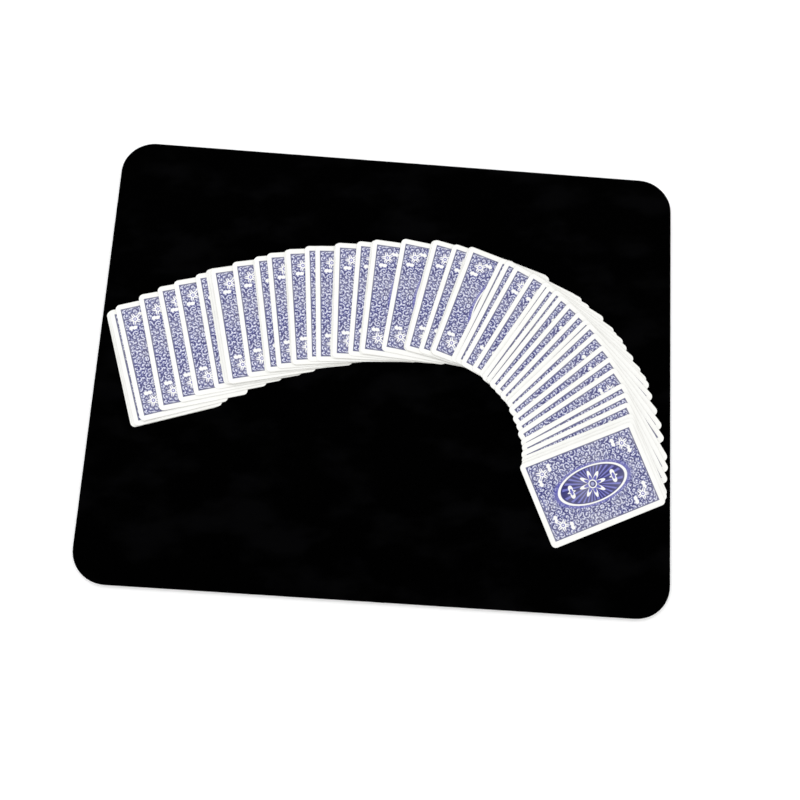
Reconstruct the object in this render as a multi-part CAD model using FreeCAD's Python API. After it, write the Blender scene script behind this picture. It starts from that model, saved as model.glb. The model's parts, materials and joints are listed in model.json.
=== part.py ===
import FreeCAD, Part
import math
import os
import random
from collections import namedtuple

# A close-up magic mat with a full deck of playing cards lying on it in a curved ribbon
# spread.  Millimetres.  The origin is the centre of the mat's underside: +X runs along the
# mat's length, +Y across it and away from the performer, +Z up.

# The mat: a rubber base with a pile fabric bonded on top.
MAT_LENGTH = 412.0
MAT_DEPTH = 328.0
MAT_CORNER_RADIUS = 24.0
RUBBER_THICKNESS = 3.0
FABRIC_THICKNESS = 1.0
FABRIC_EDGE_RADIUS = 0.4

# One playing card.  It is CARD_WIDTH along the ribbon and CARD_LENGTH across it.
CARD_WIDTH = 63.0
CARD_LENGTH = 88.0
CARD_THICKNESS = 0.28
CARD_CORNER_RADIUS = 3.5
CARD_AIR = 0.06

# The ribbon's middle line: a long gentle arc that rises to a crest, then the bend, a
# tighter arc that turns down towards the performer.  Directions are degrees from +X.
START_DIRECTION = 33.0
BEND_DIRECTION = -1.5
END_DIRECTION = -95.4
BEND_RADIUS = 115.0
CREST_Y = 53.5
EDGE_MARGIN = 2.2

# The heading is the way a card's leading edge faces.  It follows a cubic curve along the
# ribbon, with these four control values.  The first few cards, under the left end, and the
# last few on top are turned further than the curve, and the top card lies a little inside.
HEADING_CONTROLS = (16.0, 21.5, -21.5, -63.5)
FIRST_CARDS = 4
FIRST_CARDS_TWIST = 2.5
LAST_CARDS_TWISTS = (-0.8, -1.4, -1.6, -2.4, -1.8, -1.2)
TOP_CARD_ASIDE = -1.0

# The hand's rhythm: how far each card slid past the one under it, from the bottom card at
# the left end to the top card at the right end.  Small steps show only a white border.
CARD_STEPS = (
    1.0, 1.5, 5.0, 16.5, 14.5, 12.0, 15.5, 7.5, 1.5, 2.0,
    15.0, 14.0, 1.0, 8.5, 11.5, 1.0, 12.5, 7.0, 12.0, 1.0,
    13.5, 9.0, 1.0, 18.0, 18.5, 1.0, 12.5, 9.5, 1.0, 19.5,
    4.0, 6.0, 11.0, 9.0, 3.5, 5.0, 4.5, 7.0, 8.0, 6.5,
    3.5, 6.5, 9.0, 8.5, 7.5, 10.3, 5.9, 6.2, 6.9, 2.9, 2.7,
)
SIDE_JITTER = 0.6
HEADING_JITTER = 0.25
JITTER_SEED = 3

# A card's place seen from above: the middle of its leading edge and its heading.
Place = namedtuple("Place", "x y heading")
# How a card lies: the slope of its face and how far its leading edge is off the mat.
Rest = namedtuple("Rest", "slope lift")
# A card's hinge: its axis height, how far the card's middle stands off the axis, the tilt
# at rest and the angle it turns through to lie face up, both in degrees.
Hinge = namedtuple("Hinge", "height offset tilt turn")


def rounded_plate(length, width, thickness, radius):
    """A flat plate with rounded corners, centred on Z, standing on the XY plane."""
    plate = Part.makeBox(length, width, thickness, FreeCAD.Vector(-length / 2, -width / 2, 0))
    upright = [edge for edge in plate.Edges if abs(edge.tangentAt(edge.FirstParameter).z) > 0.5]
    return plate.makeFillet(radius, upright)


def rubber_base():
    return rounded_plate(MAT_LENGTH, MAT_DEPTH, RUBBER_THICKNESS, MAT_CORNER_RADIUS)


def fabric_top():
    """The pile fabric, cut flush with the rubber, with its upper edge worn round."""
    fabric = rounded_plate(MAT_LENGTH, MAT_DEPTH, FABRIC_THICKNESS, MAT_CORNER_RADIUS)
    rim = [edge for edge in fabric.Edges if edge.BoundBox.ZMin > FABRIC_THICKNESS - 1e-6]
    fabric = fabric.makeFillet(FABRIC_EDGE_RADIUS, rim)
    fabric.translate(FreeCAD.Vector(0, 0, RUBBER_THICKNESS))
    return fabric


def forward(heading):
    """Unit vector of a heading."""
    angle = math.radians(heading)
    return math.cos(angle), math.sin(angle)


def half_span(heading):
    """How far a card reaches along X from its own middle."""
    ahead, across = forward(heading)
    return abs(ahead) * CARD_WIDTH / 2 + abs(across) * CARD_LENGTH / 2


def arc_end(start, radius, direction, new_direction):
    """End of a clockwise arc that starts in one direction and leaves in another."""
    before, after = math.radians(direction), math.radians(new_direction)
    return (start[0] + radius * (math.sin(before) - math.sin(after)),
            start[1] + radius * (math.cos(after) - math.cos(before)))


def heading_at(share):
    """Heading of a card whose middle is at this share of the ribbon's length."""
    first, second, third, last = HEADING_CONTROLS
    rest = 1 - share
    return (first * rest ** 3 + 3 * second * rest ** 2 * share
            + 3 * third * rest * share ** 2 + last * share ** 3)


def ribbon_line():
    """The middle line as a function of distance, and its length."""
    first_x = -MAT_LENGTH / 2 + EDGE_MARGIN + half_span(heading_at(0.0) + FIRST_CARDS_TWIST)
    last_x = MAT_LENGTH / 2 - EDGE_MARGIN - half_span(heading_at(1.0) + LAST_CARDS_TWISTS[-1])
    bend_span = arc_end((0, 0), BEND_RADIUS, BEND_DIRECTION, END_DIRECTION)[0]
    unit_span = arc_end((0, 0), 1.0, START_DIRECTION, BEND_DIRECTION)[0]
    long_radius = (last_x - bend_span - first_x) / unit_span
    crest_rise = arc_end((0, 0), long_radius, START_DIRECTION, 0)[1]
    start = (first_x, CREST_Y - crest_rise)
    bend_start = arc_end(start, long_radius, START_DIRECTION, BEND_DIRECTION)
    long_length = long_radius * math.radians(START_DIRECTION - BEND_DIRECTION)
    bend_length = BEND_RADIUS * math.radians(BEND_DIRECTION - END_DIRECTION)

    def point(distance):
        if distance <= long_length:
            direction = START_DIRECTION - math.degrees(distance / long_radius)
            return arc_end(start, long_radius, START_DIRECTION, direction)
        direction = BEND_DIRECTION - math.degrees((distance - long_length) / BEND_RADIUS)
        return arc_end(bend_start, BEND_RADIUS, BEND_DIRECTION, direction)

    return point, long_length + bend_length


def lay_cards():
    """Where each card lies, from the bottom card to the top one."""
    point, length = ribbon_line()
    jitter = random.Random(JITTER_SEED)
    unturned = len(CARD_STEPS) + 1 - FIRST_CARDS - len(LAST_CARDS_TWISTS)
    twists = [FIRST_CARDS_TWIST] * FIRST_CARDS + [0.0] * unturned + list(LAST_CARDS_TWISTS)
    asides = [0.0] * len(CARD_STEPS) + [TOP_CARD_ASIDE]
    places = []
    travelled = 0.0
    for step, twist, aside in zip((0.0,) + CARD_STEPS, twists, asides):
        travelled += step
        share = travelled / sum(CARD_STEPS)
        heading = heading_at(share) + twist
        heading += jitter.uniform(-HEADING_JITTER, HEADING_JITTER)
        ahead, across = forward(heading)
        sideways = aside + jitter.uniform(-SIDE_JITTER, SIDE_JITTER)
        middle = point(share * length)
        places.append(Place(middle[0] + ahead * CARD_WIDTH / 2 - across * sideways,
                            middle[1] + across * CARD_WIDTH / 2 + ahead * sideways,
                            heading))
    return places


def edge_ends(place, inset):
    """Both ends of a line parallel to the leading edge, inset behind it."""
    ahead, across = forward(place.heading)
    return [(place.x - ahead * inset - across * end, place.y - across * inset + ahead * end)
            for end in (-CARD_LENGTH / 2, CARD_LENGTH / 2)]


def behind(place, spot):
    """How far a spot is behind a card's leading edge."""
    ahead, across = forward(place.heading)
    return ahead * (place.x - spot[0]) + across * (place.y - spot[1])


def settle(places, side):
    """Slope and lift of every card when each lies on the one before it in the list.

    side is 1 where the cards lie behind their leading edges, and -1 where they lie ahead
    of them, turned over.  A card's far edge rests on the card below, and its leading edge
    comes down to the mat unless the leading edge below holds it up.
    """
    stack_step = CARD_THICKNESS + CARD_AIR
    rests = [Rest(0.0, 0.0)]
    for below, card in zip(places, places[1:]):
        slope, lift = rests[-1]
        far_edge = edge_ends(card, side * CARD_WIDTH)
        far_height = max(slope * side * behind(below, spot) for spot in far_edge) + lift + stack_step
        new_slope = far_height / CARD_WIDTH
        near_reach = min(side * behind(card, spot) for spot in edge_ends(below, 0.0))
        rests.append(Rest(new_slope, max(0.0, lift + stack_step - new_slope * near_reach)))
    return rests


def hinge_cards(places):
    """The hinge of every card, so that it lies on its neighbours both before and after."""
    face_down = settle(places, 1)
    face_up = settle(places[::-1], -1)[::-1]
    mat_top = RUBBER_THICKNESS + FABRIC_THICKNESS + CARD_AIR
    hinges = []
    for before, after in zip(face_down, face_up):
        tilt = math.degrees(math.atan(before.slope))
        turned_tilt = math.degrees(math.atan(after.slope))
        hinges.append(Hinge(mat_top + CARD_THICKNESS / 2 + (before.lift + after.lift) / 2,
                            (before.lift - after.lift) / 2, tilt, 180 - tilt - turned_tilt))
    return hinges


def card_solid(place, hinge):
    """One card, tilted about its leading edge and turned to its heading."""
    card = rounded_plate(CARD_WIDTH, CARD_LENGTH, CARD_THICKNESS, CARD_CORNER_RADIUS)
    card.translate(FreeCAD.Vector(-CARD_WIDTH / 2, 0, hinge.offset - CARD_THICKNESS / 2))
    card.rotate(FreeCAD.Vector(0, 0, 0), FreeCAD.Vector(0, 1, 0), hinge.tilt)
    card.rotate(FreeCAD.Vector(0, 0, 0), FreeCAD.Vector(0, 0, 1), place.heading)
    card.translate(FreeCAD.Vector(place.x, place.y, hinge.height))
    return card


def build():
    """Every sub-part's solid by name."""
    parts = {"mat_rubber_base": rubber_base(), "mat_fabric_top": fabric_top()}
    places = lay_cards()
    for number, (place, hinge) in enumerate(zip(places, hinge_cards(places)), start=1):
        parts["card_%02d" % number] = card_solid(place, hinge)
    return parts


os.makedirs("parts", exist_ok=True)
for name, solid in build().items():
    solid.exportStep("parts/%s.step" % name)
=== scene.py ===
import json
import math
import random

import bpy
from mathutils import Matrix, Vector, noise
from mathutils.geometry import delaunay_2d_cdt


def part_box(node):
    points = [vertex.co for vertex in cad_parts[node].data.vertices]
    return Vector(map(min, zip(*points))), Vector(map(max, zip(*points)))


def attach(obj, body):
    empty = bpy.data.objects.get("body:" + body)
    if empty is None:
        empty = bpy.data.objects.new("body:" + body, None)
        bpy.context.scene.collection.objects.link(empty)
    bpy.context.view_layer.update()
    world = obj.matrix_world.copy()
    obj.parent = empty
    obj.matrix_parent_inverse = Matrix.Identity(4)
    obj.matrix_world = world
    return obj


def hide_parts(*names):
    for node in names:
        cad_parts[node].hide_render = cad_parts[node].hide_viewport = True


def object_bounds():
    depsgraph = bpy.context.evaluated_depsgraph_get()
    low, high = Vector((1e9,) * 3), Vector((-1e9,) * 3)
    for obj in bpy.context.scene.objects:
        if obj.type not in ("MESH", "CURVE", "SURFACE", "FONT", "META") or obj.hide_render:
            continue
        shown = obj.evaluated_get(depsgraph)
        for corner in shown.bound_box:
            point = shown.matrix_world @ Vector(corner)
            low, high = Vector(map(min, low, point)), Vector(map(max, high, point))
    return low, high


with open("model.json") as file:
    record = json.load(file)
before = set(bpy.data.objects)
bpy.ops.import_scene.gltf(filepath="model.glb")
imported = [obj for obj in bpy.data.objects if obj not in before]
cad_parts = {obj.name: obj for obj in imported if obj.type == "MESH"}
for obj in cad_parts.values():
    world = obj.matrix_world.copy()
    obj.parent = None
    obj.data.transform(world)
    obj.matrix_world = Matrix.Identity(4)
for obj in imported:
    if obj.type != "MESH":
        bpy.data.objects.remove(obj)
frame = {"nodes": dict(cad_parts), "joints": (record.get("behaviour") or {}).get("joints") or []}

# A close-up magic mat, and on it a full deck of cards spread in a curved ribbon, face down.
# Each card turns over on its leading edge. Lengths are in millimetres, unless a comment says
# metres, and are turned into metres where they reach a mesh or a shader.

MM = 0.001
cad_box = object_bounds()

# The camera, in metres: what it looks at, from how far and from where, and how much it is rolled.
LOOK_AT = Vector((0.0109, -0.0206, 0.004))
CAMERA_DISTANCE = 0.8325
CAMERA_ELEVATION = math.radians(75.39)
CAMERA_AZIMUTH = math.radians(-7.22)
CAMERA_ROLL = math.radians(10.97)
CAMERA_LENS = 52.5

# Light and floor, in metres and watts
WHITE_LIGHT = (1.0, 1.0, 1.0, 1.0)
SKY_STRENGTH = 1.0
KEY_POWER = 7.0
KEY_SIZE = 1.6
KEY_PLACE = (-0.9, 0.7, 1.9)
FLOOR_SIZE = 14.0
FLOOR_GAP = 0.00002
FLOOR_GLOW = 0.12

# The cards' stock
DECK_SEED = 11
SLOTS = ["back", "edge", "stock", "red", "black", "blue", "gold"]
EDGE_SOFTNESS = 0.04
CORNER_STEPS = 8
CORNER_RADIUS = 3.5
EMBOSS_PITCH = 0.75
EMBOSS_DEPTH = 0.012

# The print on the backs. Sizes of the medallion's zones are shares of its half width and length.
FRAME_HALF_WIDTH = 27.75
FRAME_HALF_LENGTH = 40.35
FRAME_LINE = 0.8
PRINT_OFF_CENTRE = -0.4
CURL_SIZE = 4.0
CURL_WINDING = 1.9
HATCH_PITCH = 1.1
FLOWER_INSET = (8.6, 9.4)
FLOWER_PETALS = 5.0
MEDALLION_HALF_WIDTH = 12.8
MEDALLION_HALF_LENGTH = 25.6
MEDALLION_HALO = 1.15
MEDALLION_RIM = 1.03
MEDALLION_FIELD = 0.95
MEDALLION_RAY_END = 0.9
MEDALLION_RAYS = 32.0
STAR_POINTS = 8.0
BUD_PETALS = 3.0
BUD_DISTANCE = 16.2

# The square that one card's materials are baked into, as shares of its side
BAKE_MARGIN = 0.006
BAKE_EDGE_START = 0.75
BAKE_EDGE_PITCH = 0.07
BAKE_EDGE_HEIGHT = 0.05

# The mat
MAT_CORNER_RADIUS = 24.0
MAT_CORNER_STEPS = 12
MAT_MESH_STEP = 4.0
PILE_DIP = 0.1
CUT_EDGE_WANDER = 0.12
TREAD_DEPTH = 0.25
TREAD_PITCH = 14.0


def ink(red, green, blue):
    """A colour given on the usual 0 to 255 scale of screens, as the light that a shader takes."""
    levels = [level / 255 for level in (red, green, blue)]
    linear = [((c + 0.055) / 1.055) ** 2.4 if c > 0.04045 else c / 12.92 for c in levels]
    return (*linear, 1.0)


STOCK_WHITE = ink(248, 248, 245)
CURL_WHITE = ink(226, 228, 242)
PALE_BLUE = ink(158, 162, 204)
LAVENDER = ink(108, 112, 164)
SLATE = ink(98, 100, 132)
RAY_BLUE = ink(108, 110, 190)
BLUE = ink(84, 84, 176)
NAVY = ink(18, 16, 104)
RED_INK = ink(196, 24, 34)
BLACK_INK = ink(16, 16, 20)
BLUE_INK = ink(32, 62, 150)
GOLD_INK = ink(238, 186, 48)
AGED_STOCK = ink(226, 224, 214)
WORN_STOCK = ink(204, 202, 196)
PLY_WHITE = ink(238, 237, 230)
PLY_GREY = ink(206, 204, 197)
GLUE_GREY = ink(150, 150, 150)
PILE_BLACK = ink(0, 0, 0)
STROKE_BLACK = ink(6, 6, 7)
# painted highlight on the highest pile of the mat
TUFT_HIGHLIGHT_BLACK = ink(9, 9, 10)
RUBBER_BLACK = ink(11, 11, 12)
DUSTY_BLACK = ink(24, 24, 26)
# painted shade inside the rubber's pores
PORE_SHADE_BLACK = ink(3, 3, 3)
FLOOR_WHITE = ink(255, 255, 255)
FLOOR_GRAIN = ink(253, 253, 253)


# ---------------------------------------------------------------- materials

class Value:
    """A number that a material works out at every point. It takes ordinary arithmetic."""

    def __init__(self, tree, socket):
        self.tree = tree
        self.socket = socket

    def math(self, operation, *others):
        node = self.tree.nodes.new("ShaderNodeMath")
        node.operation = operation
        for place, number in zip(node.inputs, (self, *others)):
            plug(self.tree, number, place)
        return Value(self.tree, node.outputs[0])

    def __add__(self, other):
        return self.math("ADD", other)

    def __sub__(self, other):
        return self.math("SUBTRACT", other)

    def __rsub__(self, other):
        return (self * -1.0) + other

    def __mul__(self, other):
        return self.math("MULTIPLY", other)

    def __truediv__(self, other):
        return self.math("DIVIDE", other)

    def __abs__(self):
        return self.math("ABSOLUTE")

    def sine(self):
        return self.math("SINE")

    def cosine(self):
        return self.math("COSINE")

    def fraction(self):
        return self.math("FRACT")

    def smaller(self, other):
        return self.math("MINIMUM", other)

    def larger(self, other):
        return self.math("MAXIMUM", other)

    def over(self, level, softness):
        """0 below the level and 1 above it, with a soft step between."""
        node = self.tree.nodes.new("ShaderNodeMapRange")
        node.interpolation_type = "SMOOTHSTEP"
        plug(self.tree, self, node.inputs["Value"])
        node.inputs["From Min"].default_value = level - softness
        node.inputs["From Max"].default_value = level + softness
        return Value(self.tree, node.outputs["Result"])

    def under(self, level, softness):
        return 1.0 - self.over(level, softness)


def plug(tree, source, place):
    """Feeds a socket with a Value, another socket or a plain number or colour."""
    if isinstance(source, Value):
        tree.links.new(source.socket, place)
    elif isinstance(source, bpy.types.NodeSocket):
        tree.links.new(source, place)
    else:
        place.default_value = source


def length_of(x, y):
    return (x * x + y * y).math("SQRT")


def angle_of(x, y):
    return y.math("ARCTAN2", x)


def new_material(name):
    """A fresh material: its node tree and its shader."""
    material = bpy.data.materials.new(name)
    material.use_nodes = True
    tree = material.node_tree
    return material, tree, tree.nodes["Principled BSDF"]


def coordinates(tree):
    """The piece's own coordinates in millimetres."""
    place = tree.nodes.new("ShaderNodeTexCoord").outputs["Object"]
    split = tree.nodes.new("ShaderNodeSeparateXYZ")
    tree.links.new(place, split.inputs[0])
    return [Value(tree, axis) / MM for axis in split.outputs]


def card_coordinates(tree):
    """A card's own X and Y in millimetres, counted from its middle."""
    x, y, _ = coordinates(tree)
    return x + HALF_WIDTH, y


def vector(tree, x, y, z=0.0):
    node = tree.nodes.new("ShaderNodeCombineXYZ")
    for place, number in zip(node.inputs, (x, y, z)):
        plug(tree, number, place)
    return node.outputs[0]


def noise_at(tree, place, detail=2.0, roughness=0.5):
    """Smooth noise from 0 to 1, with features about one unit across."""
    node = tree.nodes.new("ShaderNodeTexNoise")
    tree.links.new(place, node.inputs["Vector"])
    node.inputs["Scale"].default_value = 1.0
    node.inputs["Detail"].default_value = detail
    node.inputs["Roughness"].default_value = roughness
    return Value(tree, node.outputs["Fac"])


def paint(tree, ground, colour, amount):
    """The ground colour with another laid over it, by amount."""
    node = tree.nodes.new("ShaderNodeMix")
    node.data_type = "RGBA"
    plug(tree, amount, node.inputs["Factor"])
    plug(tree, ground, node.inputs["A"])
    plug(tree, colour, node.inputs["B"])
    return node.outputs["Result"]


def add_bump(tree, shader, height, depth):
    """Lets a height from 0 to 1 show as relief of that depth in millimetres."""
    node = tree.nodes.new("ShaderNodeBump")
    node.inputs["Strength"].default_value = 1.0
    node.inputs["Distance"].default_value = depth * MM
    plug(tree, height, node.inputs["Height"])
    tree.links.new(node.outputs["Normal"], shader.inputs["Normal"])


def emboss(tree, shader, x, y):
    """The fine cushion emboss that lets cards slide on air: a lattice of shallow dimples."""
    turn = 2 * math.pi / EMBOSS_PITCH
    add_bump(tree, shader, (x * turn).sine() * (y * turn).sine(), EMBOSS_DEPTH)


def varnish(shader):
    """The thin coat over stock and print."""
    shader.inputs["Roughness"].default_value = 0.42
    shader.inputs["Specular IOR Level"].default_value = 0.35


def handled(tree, colour, x, y):
    """Darkens the stock a little in patches, and along the edge where fingers meet it."""
    patches = noise_at(tree, vector(tree, x / 17.0, y / 17.0), 3.0)
    tinted = paint(tree, colour, AGED_STOCK, patches.over(0.55, 0.3) * 0.22)
    to_side = HALF_WIDTH - abs(x)
    to_end = HALF_LENGTH - abs(y)
    worn = to_side.smaller(to_end).under(0.35, 0.35) * patches.over(0.45, 0.2)
    return paint(tree, tinted, WORN_STOCK, worn * 0.45)


def scrollwork(tree, p, q):
    """Curls on an uneven lattice, and dark specks in the gaps between them and across some."""
    cells = tree.nodes.new("ShaderNodeTexVoronoi")
    cells.voronoi_dimensions = "2D"
    cells.inputs["Scale"].default_value = 1.0
    cells.inputs["Randomness"].default_value = 0.72
    place = vector(tree, p / CURL_SIZE, q / CURL_SIZE)
    tree.links.new(place, cells.inputs["Vector"])
    middle = tree.nodes.new("ShaderNodeSeparateXYZ")
    tree.links.new(cells.outputs["Position"], middle.inputs[0])
    x = p / CURL_SIZE - Value(tree, middle.outputs[0])
    y = q / CURL_SIZE - Value(tree, middle.outputs[1])
    chance = tree.nodes.new("ShaderNodeSeparateColor")
    tree.links.new(cells.outputs["Color"], chance.inputs[0])
    hand = Value(tree, chance.outputs[0]).over(0.5, 0.001) * 2.0 - 1.0
    radius = length_of(x, y)
    turns = angle_of(x, y) / (2 * math.pi) * hand + Value(tree, chance.outputs[1])
    ridge = abs((turns - radius * CURL_WINDING).fraction() - 0.5) * 2.0
    curls = ridge.over(0.7, 0.2).larger(radius.under(0.12, 0.03))
    gaps = ridge.under(0.34, 0.1) * radius.over(0.3, 0.06)
    dark = noise_at(tree, vector(tree, p * 0.8, q * 0.8), 1.0).over(0.567, 0.03)
    filled = noise_at(tree, vector(tree, p * 0.55, q * 0.55), 1.0).over(0.44, 0.05)
    specks = dark.larger(gaps * filled)
    return curls * (1.0 - dark), specks


def petals(x, y, count, reach, waist, softness=0.18):
    """A rosette: how much of each point its petals cover. The waist, between two petals, is a
    share of their reach."""
    rim = (angle_of(x, y) * count).cosine() * (1.0 - waist) / 2.0 + (1.0 + waist) / 2.0
    return (rim * reach - length_of(x, y)).over(0.0, softness)


def card_back():
    """Blue scrollwork with white corner flowers and one oval medallion, alike from either end."""
    material, tree, shader = new_material("card_back_print")
    x, y = card_coordinates(tree)
    p = abs(x - PRINT_OFF_CENTRE)
    q = abs(y)
    curls, specks = scrollwork(tree, p, q)
    hatch = ((p + q) * (2 * math.pi / HATCH_PITCH)).sine().over(0.2, 0.4) * 0.5
    colour = paint(tree, LAVENDER, PALE_BLUE, hatch)
    colour = paint(tree, colour, NAVY, specks)
    colour = paint(tree, colour, CURL_WHITE, curls)
    colour = corner_flower(tree, colour, p, q)
    colour = medallion(tree, colour, p, q)
    to_frame = (FRAME_HALF_WIDTH - p).smaller(FRAME_HALF_LENGTH - q)
    colour = paint(tree, colour, SLATE, to_frame.under(FRAME_LINE, 0.15))
    colour = paint(tree, STOCK_WHITE, colour, to_frame.over(0.0, 0.06))
    plug(tree, handled(tree, colour, x, y), shader.inputs["Base Color"])
    emboss(tree, shader, x, y)
    varnish(shader)
    return material


def corner_flower(tree, ground, p, q):
    """A white five-petal flower and two leaves, with blue shade behind, near each corner."""
    x = p - (FRAME_HALF_WIDTH - FLOWER_INSET[0])
    y = q - (FRAME_HALF_LENGTH - FLOWER_INSET[1])
    shade = petals(x, y, FLOWER_PETALS, 6.0, 0.62, 0.5)
    flower = petals(x, y, FLOWER_PETALS, 4.7, 0.45)
    heart = length_of(x, y)
    veins = (angle_of(x, y) * FLOWER_PETALS).cosine().over(0.9, 0.06) * heart.over(1.8, 0.2)
    end_leaf = petals(x + 5.4, y - 3.2, 2.0, 2.9, 0.3)
    side_leaf = petals(x - 2.6, y + 6.2, 2.0, 2.9, 0.3)
    colour = paint(tree, ground, NAVY, shade * 0.5)
    colour = paint(tree, colour, STOCK_WHITE, flower.larger(end_leaf).larger(side_leaf))
    colour = paint(tree, colour, BLUE, heart.under(1.25, 0.12).larger(veins * flower * 0.8))
    return paint(tree, colour, STOCK_WHITE, heart.under(0.6, 0.1))


def medallion(tree, ground, p, q):
    """The oval in the middle: a rayed blue field in a white rim, a star flower and two buds."""
    oval = length_of(p / MEDALLION_HALF_WIDTH, q / MEDALLION_HALF_LENGTH)
    angle = angle_of(p, q)
    rays = (angle * MEDALLION_RAYS).sine().over(0.3, 0.3) * oval.over(0.3, 0.1)
    bud = petals(p, q - BUD_DISTANCE, BUD_PETALS, 4.8, 0.35)
    bud_heart = petals(p, q - BUD_DISTANCE, BUD_PETALS, 2.4, 0.4)
    star = petals(p, q, STAR_POINTS, 9.8, 0.36)
    star_heart = petals(p, q, STAR_POINTS, 6.6, 0.5)
    radius = length_of(p, q)
    colour = paint(tree, ground, BLUE, oval.under(MEDALLION_HALO, 0.06) * 0.75)
    colour = paint(tree, colour, STOCK_WHITE, oval.under(MEDALLION_RIM, 0.012))
    colour = paint(tree, colour, NAVY, oval.under(MEDALLION_FIELD, 0.012))
    colour = paint(tree, colour, RAY_BLUE, rays * oval.under(MEDALLION_RAY_END, 0.012))
    colour = paint(tree, colour, STOCK_WHITE, star.larger(bud))
    colour = paint(tree, colour, BLUE, star_heart.larger(bud_heart))
    for reach, disc in ((3.1, STOCK_WHITE), (2.3, NAVY), (1.3, PALE_BLUE)):
        colour = paint(tree, colour, disc, radius.under(reach, 0.15))
    return colour


def card_face(name, colour):
    """One colour of the faces: handled stock, or ink with the slight mottle of a litho print."""
    material, tree, shader = new_material(name)
    x, y = card_coordinates(tree)
    if colour == STOCK_WHITE:
        mottled = handled(tree, colour, x, y)
    else:
        grain = noise_at(tree, vector(tree, x * 1.6, y * 1.6), 3.0)
        lighter = tuple(min(1.0, level * 1.25 + 0.012) for level in colour)
        mottled = paint(tree, colour, lighter, grain.over(0.55, 0.2) * 0.35)
    plug(tree, mottled, shader.inputs["Base Color"])
    emboss(tree, shader, x, y)
    varnish(shader)
    return material


def card_edge():
    """The cut edge: white plies with the grey line of the glue that keeps light from passing."""
    material, tree, shader = new_material("card_cut_edge")
    x, y, z = coordinates(tree)
    fibres = noise_at(tree, vector(tree, x * 2.2, y * 2.2, z * 12.0), 3.0)
    glue = abs(z).under(0.035, 0.02)
    colour = paint(tree, PLY_WHITE, PLY_GREY, fibres.over(0.5, 0.2))
    colour = paint(tree, colour, GLUE_GREY, glue * 0.7)
    plug(tree, colour, shader.inputs["Base Color"])
    shader.inputs["Roughness"].default_value = 0.85
    shader.inputs["Specular IOR Level"].default_value = 0.2
    return material


def pile_fabric():
    """Short black pile: it swallows light, and strokes lie across it where hands have passed. Its
    raised pile is painted lighter, a painted highlight.
    """
    material, tree, shader = new_material("mat_pile")
    x, y, z = coordinates(tree)
    strokes = noise_at(tree, vector(tree, x / 60.0 + y / 90.0, y / 34.0 - x / 120.0), 3.0)
    tuft_height_and_highlight = noise_at(tree, vector(tree, x * 1.7, y * 1.7, z * 1.7), 3.0, 0.7)
    fibres = noise_at(tree, vector(tree, x * 5.0, y * 3.0, z * 5.0), 2.0, 0.7)
    colour = paint(tree, PILE_BLACK, STROKE_BLACK, strokes.over(0.56, 0.1) * 0.7)
    # painted highlight: the raised pile is painted lighter where the bump stands highest
    colour = paint(tree, colour, TUFT_HIGHLIGHT_BLACK, tuft_height_and_highlight.over(0.62, 0.12) * 0.4)
    plug(tree, colour, shader.inputs["Base Color"])
    add_bump(tree, shader, tuft_height_and_highlight * 0.6 + fibres * 0.4, 0.45)
    shader.inputs["Roughness"].default_value = 1.0
    shader.inputs["Specular IOR Level"].default_value = 0.0
    shader.inputs["Sheen Weight"].default_value = 0.008
    shader.inputs["Sheen Roughness"].default_value = 0.5
    return material


def rubber():
    """Matt black rubber, with the fine pores that show along its cut edge, painted darker inside as
    painted shade.
    """
    material, tree, shader = new_material("mat_rubber")
    x, y, z = coordinates(tree)
    pores = tree.nodes.new("ShaderNodeTexVoronoi")
    tree.links.new(vector(tree, x * 1.8, y * 1.8, z * 1.8), pores.inputs["Vector"])
    pores.inputs["Scale"].default_value = 1.0
    pit_depth_and_shade = Value(tree, pores.outputs["Distance"]).over(0.32, 0.2)
    dust = noise_at(tree, vector(tree, x / 9.0, y / 9.0, z / 2.0), 4.0)
    colour = paint(tree, RUBBER_BLACK, DUSTY_BLACK, dust.over(0.52, 0.15) * 0.7)
    # painted shade: the pores are painted darker in their hollows, where the bump sinks
    colour = paint(tree, PORE_SHADE_BLACK, colour, pit_depth_and_shade)
    plug(tree, colour, shader.inputs["Base Color"])
    add_bump(tree, shader, pit_depth_and_shade, 0.12)
    shader.inputs["Roughness"].default_value = 0.9
    shader.inputs["Specular IOR Level"].default_value = 0.12
    return material


def floor_finish():
    """A plain white studio floor with a very faint grain, and a faint glow as of a light table."""
    material, tree, shader = new_material("floor_paper")
    x, y, _ = coordinates(tree)
    grain = noise_at(tree, vector(tree, x / 40.0, y / 40.0), 3.0)
    colour = paint(tree, FLOOR_WHITE, FLOOR_GRAIN, grain)
    plug(tree, colour, shader.inputs["Base Color"])
    shader.inputs["Emission Color"].default_value = WHITE_LIGHT
    shader.inputs["Emission Strength"].default_value = FLOOR_GLOW
    shader.inputs["Roughness"].default_value = 1.0
    shader.inputs["Specular IOR Level"].default_value = 0.0
    return material


# ---------------------------------------------------------------- outlines

def rounded_outline(half_x, half_y, radius, corner_steps, straight_step=None):
    """Points anticlockwise round a rectangle with round corners, centred on the origin."""
    points = []
    centres = [(1, 1), (-1, 1), (-1, -1), (1, -1)]
    for quarter, (side_x, side_y) in enumerate(centres):
        centre = Vector((side_x * (half_x - radius), side_y * (half_y - radius)))
        for step in range(corner_steps + 1):
            angle = math.pi / 2 * (quarter + step / corner_steps)
            points.append(centre + radius * Vector((math.cos(angle), math.sin(angle))))
    if straight_step is None:
        return points
    divided = []
    for start, end in zip(points, points[1:] + points[:1]):
        pieces = max(1, round((end - start).length / straight_step))
        divided += [start.lerp(end, piece / pieces) for piece in range(pieces)]
    return divided


def moved(points, at=(0.0, 0.0), size=1.0, upside_down=False):
    """An outline scaled, turned by half a turn if asked, and moved."""
    scale = -size if upside_down else size
    return [Vector(at) + scale * Vector(point) for point in points]


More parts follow.
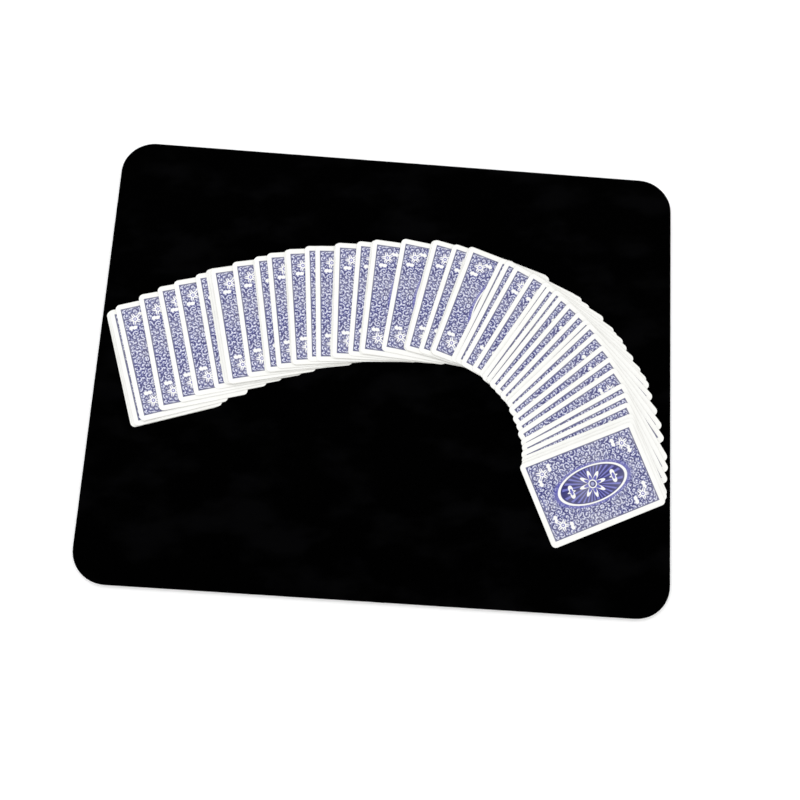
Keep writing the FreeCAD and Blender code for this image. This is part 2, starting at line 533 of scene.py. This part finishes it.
def ring(radius, centre=(0.0, 0.0), steps=20):
    angles = [2 * math.pi * step / steps for step in range(steps)]
    return [Vector(centre) + radius * Vector((math.cos(a), math.sin(a))) for a in angles]


def heart_outline(steps=28):
    """A heart one unit across, from the usual sum of cosines."""
    points = []
    for step in range(steps):
        t = 2 * math.pi * step / steps
        height = 13 * math.cos(t) - 5 * math.cos(2 * t) - 2 * math.cos(3 * t) - math.cos(4 * t)
        points.append(Vector((16 * math.sin(t) ** 3, height + 2.5)) / 32)
    return points


def diamond_outline(steps=24):
    """A tall lozenge with slightly hollow sides."""
    points = []
    for step in range(steps):
        t = 2 * math.pi * step / steps
        x = math.copysign(abs(math.cos(t)) ** 2.3, math.cos(t))
        y = math.copysign(abs(math.sin(t)) ** 2.3, math.sin(t))
        points.append(Vector((0.39 * x, 0.52 * y)))
    return points


STEM = [(-0.03, -0.12), (-0.06, -0.3), (-0.2, -0.5), (0.2, -0.5), (0.06, -0.3), (0.03, -0.12)]
SUITS = {
    "spades": [moved(heart_outline(), (0.0, 0.07), 0.92, upside_down=True), STEM],
    "hearts": [heart_outline()],
    "clubs": [ring(0.225, (0, 0.25)), ring(0.225, (-0.24, -0.09)), ring(0.225, (0.24, -0.09)),
              ring(0.12), STEM],
    "diamonds": [diamond_outline()],
}
SUIT_INKS = {"spades": "black", "hearts": "red", "clubs": "black", "diamonds": "red"}
RANKS = ["A", "2", "3", "4", "5", "6", "7", "8", "9", "10", "J", "Q", "K"]
RANK_NAMES = ["ace", "2", "3", "4", "5", "6", "7", "8", "9", "10", "jack", "queen", "king"]


# ---------------------------------------------------------------- the artwork of a card's face

PIP_COLUMN = 13.0
PIP_HEIGHT = 9.6
ACE_HEIGHT = 24.0
INDEX_CORNER = (-27.2, 37.6)
INDEX_HEIGHT = 6.6
INDEX_PIP_HEIGHT = 4.9
INDEX_PIP_DROP = 7.4
INDEX_BOLDNESS = 0.018
SMALLEST_GLYPH_FACE = 1e-5
PANEL_HALF_WIDTH = 19.6
PANEL_HALF_LENGTH = 33.6
PANEL_LINE = 0.5
CROWN_SPREAD = 20.0
HEADGEAR_RISE = 15.4
COURT_PIP_PLACE = (-14.2, 28.2)
COURT_PIP_HEIGHT = 7.4


def pip_places(rank):
    """Where the pips of a number card lie: (column, height), in the usual layout."""
    side = {2: [], 3: [], 4: [27], 5: [27], 6: [27, 0], 7: [27, 0], 8: [27, 0],
            9: [27, 9], 10: [27, 9]}[rank]
    middle = {2: [27, -27], 3: [27, 0, -27], 5: [0], 7: [13.5], 8: [13.5, -13.5], 9: [0],
              10: [18, -18]}.get(rank, [])
    heights = sorted({height * sign for height in side for sign in (1, -1)})
    columns = [(column, height) for column in (-PIP_COLUMN, PIP_COLUMN) for height in heights]
    return columns + [(0, height) for height in middle]


def pip(suit, at, height, upside_down=False):
    """One suit mark: its outlines, each with its ink."""
    outlines = [moved(outline, at, height, upside_down) for outline in SUITS[suit]]
    return [(outline, SUIT_INKS[suit]) for outline in outlines]


def glyph_polygons(text):
    """The faces of a short text in Blender's own font, one unit high and centred."""
    curve = bpy.data.curves.new("index_text", "FONT")
    curve.body = text
    curve.resolution_u = 3
    curve.offset = INDEX_BOLDNESS
    holder = bpy.data.objects.new("index_text", curve)
    bpy.context.scene.collection.objects.link(holder)
    bpy.context.view_layer.update()
    mesh = bpy.data.meshes.new_from_object(holder)
    corners = [vertex.co.to_2d() for vertex in mesh.vertices]
    low = Vector((min(c.x for c in corners), min(c.y for c in corners)))
    high = Vector((max(c.x for c in corners), max(c.y for c in corners)))
    centre = (low + high) / 2
    unit = [(c - centre) / (high.y - low.y) for c in corners]
    polygons = [[unit[index] for index in face.vertices] for face in mesh.polygons
                if face.area > SMALLEST_GLYPH_FACE]
    bpy.data.objects.remove(holder)
    bpy.data.meshes.remove(mesh)
    bpy.data.curves.remove(curve)
    return polygons


def index_marks(rank, suit):
    """The rank and a small pip in two opposite corners."""
    narrow = 0.62 if rank == "10" else 0.86
    marks = []
    for sign in (1, -1):
        corner = Vector(INDEX_CORNER) * sign
        for polygon in GLYPHS[rank]:
            thin = [Vector((point.x * narrow, point.y)) for point in polygon]
            marks.append((moved(thin, corner, INDEX_HEIGHT, sign < 0), SUIT_INKS[suit]))
        below = corner - Vector((0.0, INDEX_PIP_DROP * sign))
        marks += pip(suit, below, INDEX_PIP_HEIGHT, sign < 0)
    return marks


def crown(rank):
    """Plain heraldic headgear of a court card: a crown for king and queen, a cap for jack."""
    if rank == "J":
        cap = [(-8, 0), (8, 0), (9, 3.4), (4, 7.4), (-3, 8), (-8.4, 4.2)]
        plume = [(4, 6.4), (9, 9), (14, 8), (16, 4), (12.6, 5.6), (9, 5)]
        headband = [(-8.6, -1.6), (8.6, -1.6), (8, 0.6), (-8, 0.6)]
        return [(cap, "red"), (plume, "gold"), (headband, "gold")]
    gaps = 4 if rank == "K" else 2
    tips = [CROWN_SPREAD * (0.5 - tip / gaps) for tip in range(gaps + 1)]
    outline = [(-8, 0), (8, 0), (tips[0], 9.5)]
    for before, tip in zip(tips, tips[1:]):
        outline += [(before - CROWN_SPREAD / gaps / 2, 4.0), (tip, 9.5)]
    jewels = [(ring(1.25, (tip, 9.9), 12), "red") for tip in tips]
    band = [(-8.4, -1.2), (8.4, -1.2), (8, 1.4), (-8, 1.4)]
    return [(outline, "gold"), (band, "blue"), *jewels]


def court_half(rank, suit):
    """The upper half of a court card's panel: headgear over a banded shield, with its suit."""
    shield = [(-12, 11.5), (12, 11.5), (12, 5), (10, 0), (-10, 0), (-12, 5)]
    marks = [(shield, "blue")]
    for number, colour in enumerate(("gold", "red", "gold", "black")):
        base = 9.2 - 2.5 * number
        chevron = [(-11.4, base - 1.5), (0, base + 1.6), (11.4, base - 1.5), (11.4, base - 2.7),
                   (0, base + 0.3), (-11.4, base - 2.7)]
        marks.append((chevron, colour))
    marks += [(moved(outline, (0, HEADGEAR_RISE)), colour) for outline, colour in crown(rank)]
    return marks + pip(suit, COURT_PIP_PLACE, COURT_PIP_HEIGHT)


def court_panel(rank, suit):
    """The framed panel of a court card, alike from either end."""
    marks = []
    for inset, colour in ((0.0, "blue"), (PANEL_LINE, "stock")):
        half_x = PANEL_HALF_WIDTH - inset
        half_y = PANEL_HALF_LENGTH - inset
        marks.append((rounded_outline(half_x, half_y, 1.2, 3), colour))
    for upside_down in (False, True):
        marks += [(moved(outline, upside_down=upside_down), colour)
                  for outline, colour in court_half(rank, suit)]
    sash = [(-19.1, -3.4), (-19.1, -1.4), (19.1, 3.4), (19.1, 1.4)]
    return marks + [(sash, SUIT_INKS[suit])]


def face_marks(rank, suit):
    """Everything printed on one card's face, in the order it is laid down."""
    if rank == "A":
        middle = pip(suit, (0, 0), ACE_HEIGHT)
    elif rank in ("J", "Q", "K"):
        middle = court_panel(rank, suit)
    else:
        middle = [mark for column, height in pip_places(int(rank))
                  for mark in pip(suit, (column, height), PIP_HEIGHT, height < 0)]
    return middle + index_marks(rank, suit)


# ---------------------------------------------------------------- meshes

def anticlockwise(points):
    """The same outline, run round the way that the cutting below needs."""
    following = points[1:] + points[:1]
    area = sum(here.cross(there) for here, there in zip(points, following))
    return points if area > 0 else points[::-1]


def triangulated(polygons, loose_points=()):
    """Cuts the plane along every polygon's sides. Gives the points, the triangles, the polygons
    that each triangle lies in, and the new number of each point of the first polygon."""
    points = []
    loops = []
    for polygon in polygons:
        loops.append(list(range(len(points), len(points) + len(polygon))))
        points += anticlockwise([Vector(point) for point in polygon])
    points += loose_points
    made = delaunay_2d_cdt(points, [], loops, 1, 1e-4)
    corners, _, triangles, from_points, _, from_loops = made
    outer = {}
    for new, olds in enumerate(from_points):
        outer.update({old: new for old in olds if old < len(loops[0])})
    return corners, triangles, from_loops, [outer[old] for old in loops[0]]


def mesh_object(name, corners, faces, materials, face_materials):
    """A mesh object from points in millimetres."""
    mesh = bpy.data.meshes.new(name)
    mesh.from_pydata([Vector(corner) * MM for corner in corners], [], faces)
    for material in materials:
        mesh.materials.append(material)
    mesh.polygons.foreach_set("material_index", face_materials)
    mesh.update()
    made = bpy.data.objects.new(name, mesh)
    bpy.context.scene.collection.objects.link(made)
    return made


def band_between(lower, upper):
    """Quads between two rings of equally many points, numbered anticlockwise from above."""
    following = lower[1:] + lower[:1]
    following_upper = upper[1:] + upper[:1]
    return [list(quad) for quad in zip(lower, following, following_upper, upper)]


def card_mesh(name, rank, suit, materials):
    """A card with soft edges. Its print on the face is cut into the mesh, one region per ink."""
    half_thickness = THICKNESS / 2
    inner = rounded_outline(HALF_WIDTH - EDGE_SOFTNESS, HALF_LENGTH - EDGE_SOFTNESS,
                            CORNER_RADIUS - EDGE_SOFTNESS, CORNER_STEPS)
    outer = rounded_outline(HALF_WIDTH, HALF_LENGTH, CORNER_RADIUS, CORNER_STEPS)
    marks = [(inner, "stock"), *face_marks(rank, suit)]
    flat, triangles, sources, rim = triangulated([outline for outline, colour in marks])
    # The card lies face down, so what is right of its face's middle lies towards -X.
    corners = [(-point.x - HALF_WIDTH, point.y, -half_thickness) for point in flat]
    faces = [list(triangle) for triangle in triangles]
    colours = [SLOTS.index(marks[max(source)][1]) for source in sources]
    bottom = list(reversed(rim))
    steps = [(outer, -half_thickness + EDGE_SOFTNESS), (outer, half_thickness - EDGE_SOFTNESS),
             (inner, half_thickness)]
    for outline, height in steps:
        start = len(corners)
        corners += [(-point.x - HALF_WIDTH, point.y, height) for point in reversed(outline)]
        top = list(range(start, start + len(outline)))
        band = band_between(bottom, top)
        faces += band
        colours += [SLOTS.index("edge")] * len(band)
        bottom = top
    faces.append(bottom)
    colours.append(SLOTS.index("back"))
    return mesh_object(name, corners, faces, [materials[slot] for slot in SLOTS], colours)


def bake_map(card):
    """Lays the back and the face side by side in one square, with the thin edge above them."""
    layer = card.data.uv_layers.new(name="OFBake")
    scale = (0.5 - 2 * BAKE_MARGIN) / (2 * HALF_WIDTH * MM)
    faces = card.data.polygons
    edge_faces = [face for face in faces if face.material_index == SLOTS.index("edge")]
    for face in faces:
        on_back = face.material_index == SLOTS.index("back")
        start = BAKE_MARGIN if on_back else 0.5 + BAKE_MARGIN
        for loop in face.loop_indices:
            place = card.data.vertices[card.data.loops[loop].vertex_index].co
            across = (place.x + 2 * HALF_WIDTH * MM) * scale
            along = (place.y + HALF_LENGTH * MM) * scale
            layer.data[loop].uv = (start + across, BAKE_MARGIN + along)
    for number, face in enumerate(edge_faces):
        lay_edge_face(layer, face, number)


def lay_edge_face(layer, face, number):
    """Gives one face of the edge its own cell in three rows above the two sides."""
    row_length = 4 * (CORNER_STEPS + 1)
    row, step = divmod(number, row_length)
    width = 1.0 / row_length
    low_u = step * width
    low_v = BAKE_EDGE_START + row * BAKE_EDGE_PITCH
    corners = [(0.0, 0.1), (1.0, 0.1), (1.0, 0.9), (0.0, 0.9)]
    for loop, (u, v) in zip(face.loop_indices, corners):
        layer.data[loop].uv = (low_u + u * width, low_v + v * BAKE_EDGE_HEIGHT)


def plate_mesh(name, size, radius, profile, top_height, bottom_height, material):
    """A flexible sheet with round corners. profile is its edge, from top to bottom, as pairs of
    how far in from the outline and how high. The two heights are functions of the point, and
    shape the broad sides."""
    half_x = size[0] / 2
    half_y = size[1] / 2
    corners = []
    faces = []
    rims = []

    def outline_at(inset):
        return rounded_outline(half_x - inset, half_y - inset, radius - inset,
                               MAT_CORNER_STEPS, MAT_MESH_STEP)

    sides = [(profile[0][0], top_height, True), (profile[-1][0], bottom_height, False)]
    for inset, height_at, upward in sides:
        outline = outline_at(inset)
        flat, triangles, _, rim = triangulated([outline], inner_grid(half_x, half_y, radius))
        start = len(corners)
        corners += [(point.x, point.y, height_at(point)) for point in flat]
        faces += [[start + c for c in (triangle if upward else reversed(triangle))]
                  for triangle in triangles]
        rims.append([start + index for index in rim])
    upper = rims[0]
    for inset, height in profile[1:-1]:
        outline = outline_at(inset)
        start = len(corners)
        corners += [(*wandered(point), height) for point in outline]
        lower = list(range(start, start + len(outline)))
        faces += band_between(lower, upper)
        upper = lower
    faces += band_between(rims[1], upper)
    return mesh_object(name, corners, faces, [material], [0] * len(faces))


def wandered(point):
    """A point of a cut edge, drawn in a little where the knife strayed."""
    stray = noise.noise(Vector((point.x, point.y, 0.0)) / 9.0) * 0.5 + 0.5
    return point * (1.0 - CUT_EDGE_WANDER * stray / point.length)


def inner_grid(half_x, half_y, radius):
    """Points inside the mat for its broad sides, clear of its outline."""
    step = MAT_MESH_STEP
    clear = step * 0.7
    points = []
    for column in range(int(-half_x // step), int(half_x // step) + 2):
        for row in range(int(-half_y // step), int(half_y // step) + 2):
            point = Vector(((column + 0.5 * (row % 2)) * step, row * step))
            over_x = abs(point.x) - (half_x - radius)
            over_y = abs(point.y) - (half_y - radius)
            corner = math.hypot(max(over_x, 0.0), max(over_y, 0.0))
            if max(over_x, over_y, corner) < radius - clear:
                points.append(point)
    return points


# ---------------------------------------------------------------- the mat

def in_millimetres(node):
    """The lowest and highest corner of a CAD node's box."""
    low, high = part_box(node)
    return low / MM, high / MM


def make_fabric():
    """The pile fabric bonded on top, level but for faint waves, with a soft cut edge."""
    low, high = in_millimetres("mat_fabric_top")

    def top(point):
        wave = noise.noise(Vector((point.x, point.y, 0.0)) / 38.0) * 0.5 + 0.5
        return high.z - PILE_DIP * wave

    def bottom(point):
        return low.z

    profile = [(1.1, high.z), (0.6, high.z - 0.1), (0.2, high.z - 0.26), (0.02, high.z - 0.52),
               (0.0, high.z - 0.75), (0.1, low.z + 0.02), (0.1, low.z)]
    size = (high - low).to_2d()
    fabric = plate_mesh("mat_fabric", size, MAT_CORNER_RADIUS, profile, top, bottom, pile_fabric())
    fabric.data.polygons.foreach_set("use_smooth", [True] * len(fabric.data.polygons))
    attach(fabric, "mat")
    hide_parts("mat_fabric_top")
    return fabric


def make_rubber():
    """The rubber sheet under the fabric, with a shallow wavy tread on its underside."""
    low, high = in_millimetres("mat_rubber_base")

    def top(point):
        return high.z

    def bottom(point):
        swing = 3.0 * math.sin(2 * math.pi * point.y / (2.5 * TREAD_PITCH))
        groove = math.sin(2 * math.pi * (point.x + swing) / TREAD_PITCH)
        return low.z + TREAD_DEPTH * max(0.0, groove) ** 2

    profile = [(0.25, high.z), (0.25, high.z - 0.02), (0.12, high.z - 0.12), (0.1, 0.6),
               (0.3, 0.15), (0.7, low.z)]
    size = (high - low).to_2d()
    base = plate_mesh("mat_rubber", size, MAT_CORNER_RADIUS, profile, top, bottom, rubber())
    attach(base, "mat")
    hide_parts("mat_rubber_base")


# ---------------------------------------------------------------- the deck

def card_place(joint):
    """The card's own axes as a matrix: X forward, Y across and Z up through its back, with its
    origin in the middle of its leading edge and of its thickness. Also its size."""
    node = frame["nodes"][joint["child"]]
    up = Vector((0.0, 0.0, 0.0))
    for face in node.data.polygons:
        if face.normal.z > 0.5:
            up += face.area * face.normal
    up.normalize()
    across = Vector(joint["axis"]).normalized()
    forward = across.cross(up)
    matrix = Matrix((forward, across, up)).transposed().to_4x4()
    matrix.translation = Vector(joint["pos_m"])
    inverse = matrix.inverted()
    places = [inverse @ vertex.co for vertex in node.data.vertices]
    heights = [place.z for place in places]
    size = Vector((-min(place.x for place in places), 2 * max(place.y for place in places),
                   max(heights) - min(heights)))
    matrix.translation += up * (max(heights) + min(heights)) / 2
    return matrix, size


def make_cards(joints):
    """The 52 cards, shuffled, each riding on its own body."""
    materials = {
        "back": card_back(),
        "edge": card_edge(),
        "stock": card_face("card_face_stock", STOCK_WHITE),
        "red": card_face("card_ink_red", RED_INK),
        "black": card_face("card_ink_black", BLACK_INK),
        "blue": card_face("card_ink_blue", BLUE_INK),
        "gold": card_face("card_ink_gold", GOLD_INK),
    }
    deck = [(rank, suit) for suit in SUITS for rank in RANKS]
    random.Random(DECK_SEED).shuffle(deck)
    for joint, (rank, suit) in zip(joints, deck):
        body = joint["child"]
        name = f"{body}_{RANK_NAMES[RANKS.index(rank)]}_of_{suit}"
        card = card_mesh(name, rank, suit, materials)
        bake_map(card)
        card.matrix_world, _ = card_place(joint)
        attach(card, body)
        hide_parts(body)


# ---------------------------------------------------------------- camera, light and floor

def make_camera():
    level = math.cos(CAMERA_ELEVATION)
    back = Vector((math.sin(CAMERA_AZIMUTH) * level, -math.cos(CAMERA_AZIMUTH) * level,
                   math.sin(CAMERA_ELEVATION)))
    camera = bpy.data.objects.new("camera", bpy.data.cameras.new("camera"))
    camera.data.lens = CAMERA_LENS
    camera.location = LOOK_AT + back * CAMERA_DISTANCE
    camera.rotation_mode = "QUATERNION"
    roll = Matrix.Rotation(CAMERA_ROLL, 3, "Z").to_quaternion()
    camera.rotation_quaternion = (-back).to_track_quat("-Z", "Y") @ roll
    bpy.context.scene.collection.objects.link(camera)
    bpy.context.scene.camera = camera


def make_light():
    """An even white sky, and one large soft lamp up to the left. Colours are shown unaltered."""
    world = bpy.data.worlds.new("studio")
    world.use_nodes = True
    sky = world.node_tree.nodes["Background"]
    sky.inputs["Color"].default_value = WHITE_LIGHT
    sky.inputs["Strength"].default_value = SKY_STRENGTH
    bpy.context.scene.world = world
    lamp = bpy.data.lights.new("key", "AREA")
    lamp.energy = KEY_POWER
    lamp.size = KEY_SIZE
    holder = bpy.data.objects.new("key", lamp)
    holder.location = KEY_PLACE
    holder.rotation_mode = "QUATERNION"
    holder.rotation_quaternion = (-Vector(KEY_PLACE)).to_track_quat("-Z", "Y")
    bpy.context.scene.collection.objects.link(holder)
    bpy.context.scene.view_settings.view_transform = "Standard"


def make_floor():
    """A white floor just under the mat."""
    half = FLOOR_SIZE / 2
    corners = [(x * half / MM, y * half / MM, 0.0) for x, y in ((-1, -1), (1, -1), (1, 1), (-1, 1))]
    floor = mesh_object("floor", corners, [[0, 1, 2, 3]], [floor_finish()], [0])
    floor.location.z = cad_box[0].z - FLOOR_GAP


make_camera()
make_light()
card_joints = sorted(frame["joints"], key=lambda joint: joint["name"])
_, card_size = card_place(card_joints[0])
card_size /= MM
HALF_WIDTH = card_size.x / 2
HALF_LENGTH = card_size.y / 2
THICKNESS = card_size.z
GLYPHS = {rank: glyph_polygons(rank) for rank in RANKS}

make_rubber()
mat_fabric = make_fabric()
make_cards(card_joints)
make_floor()
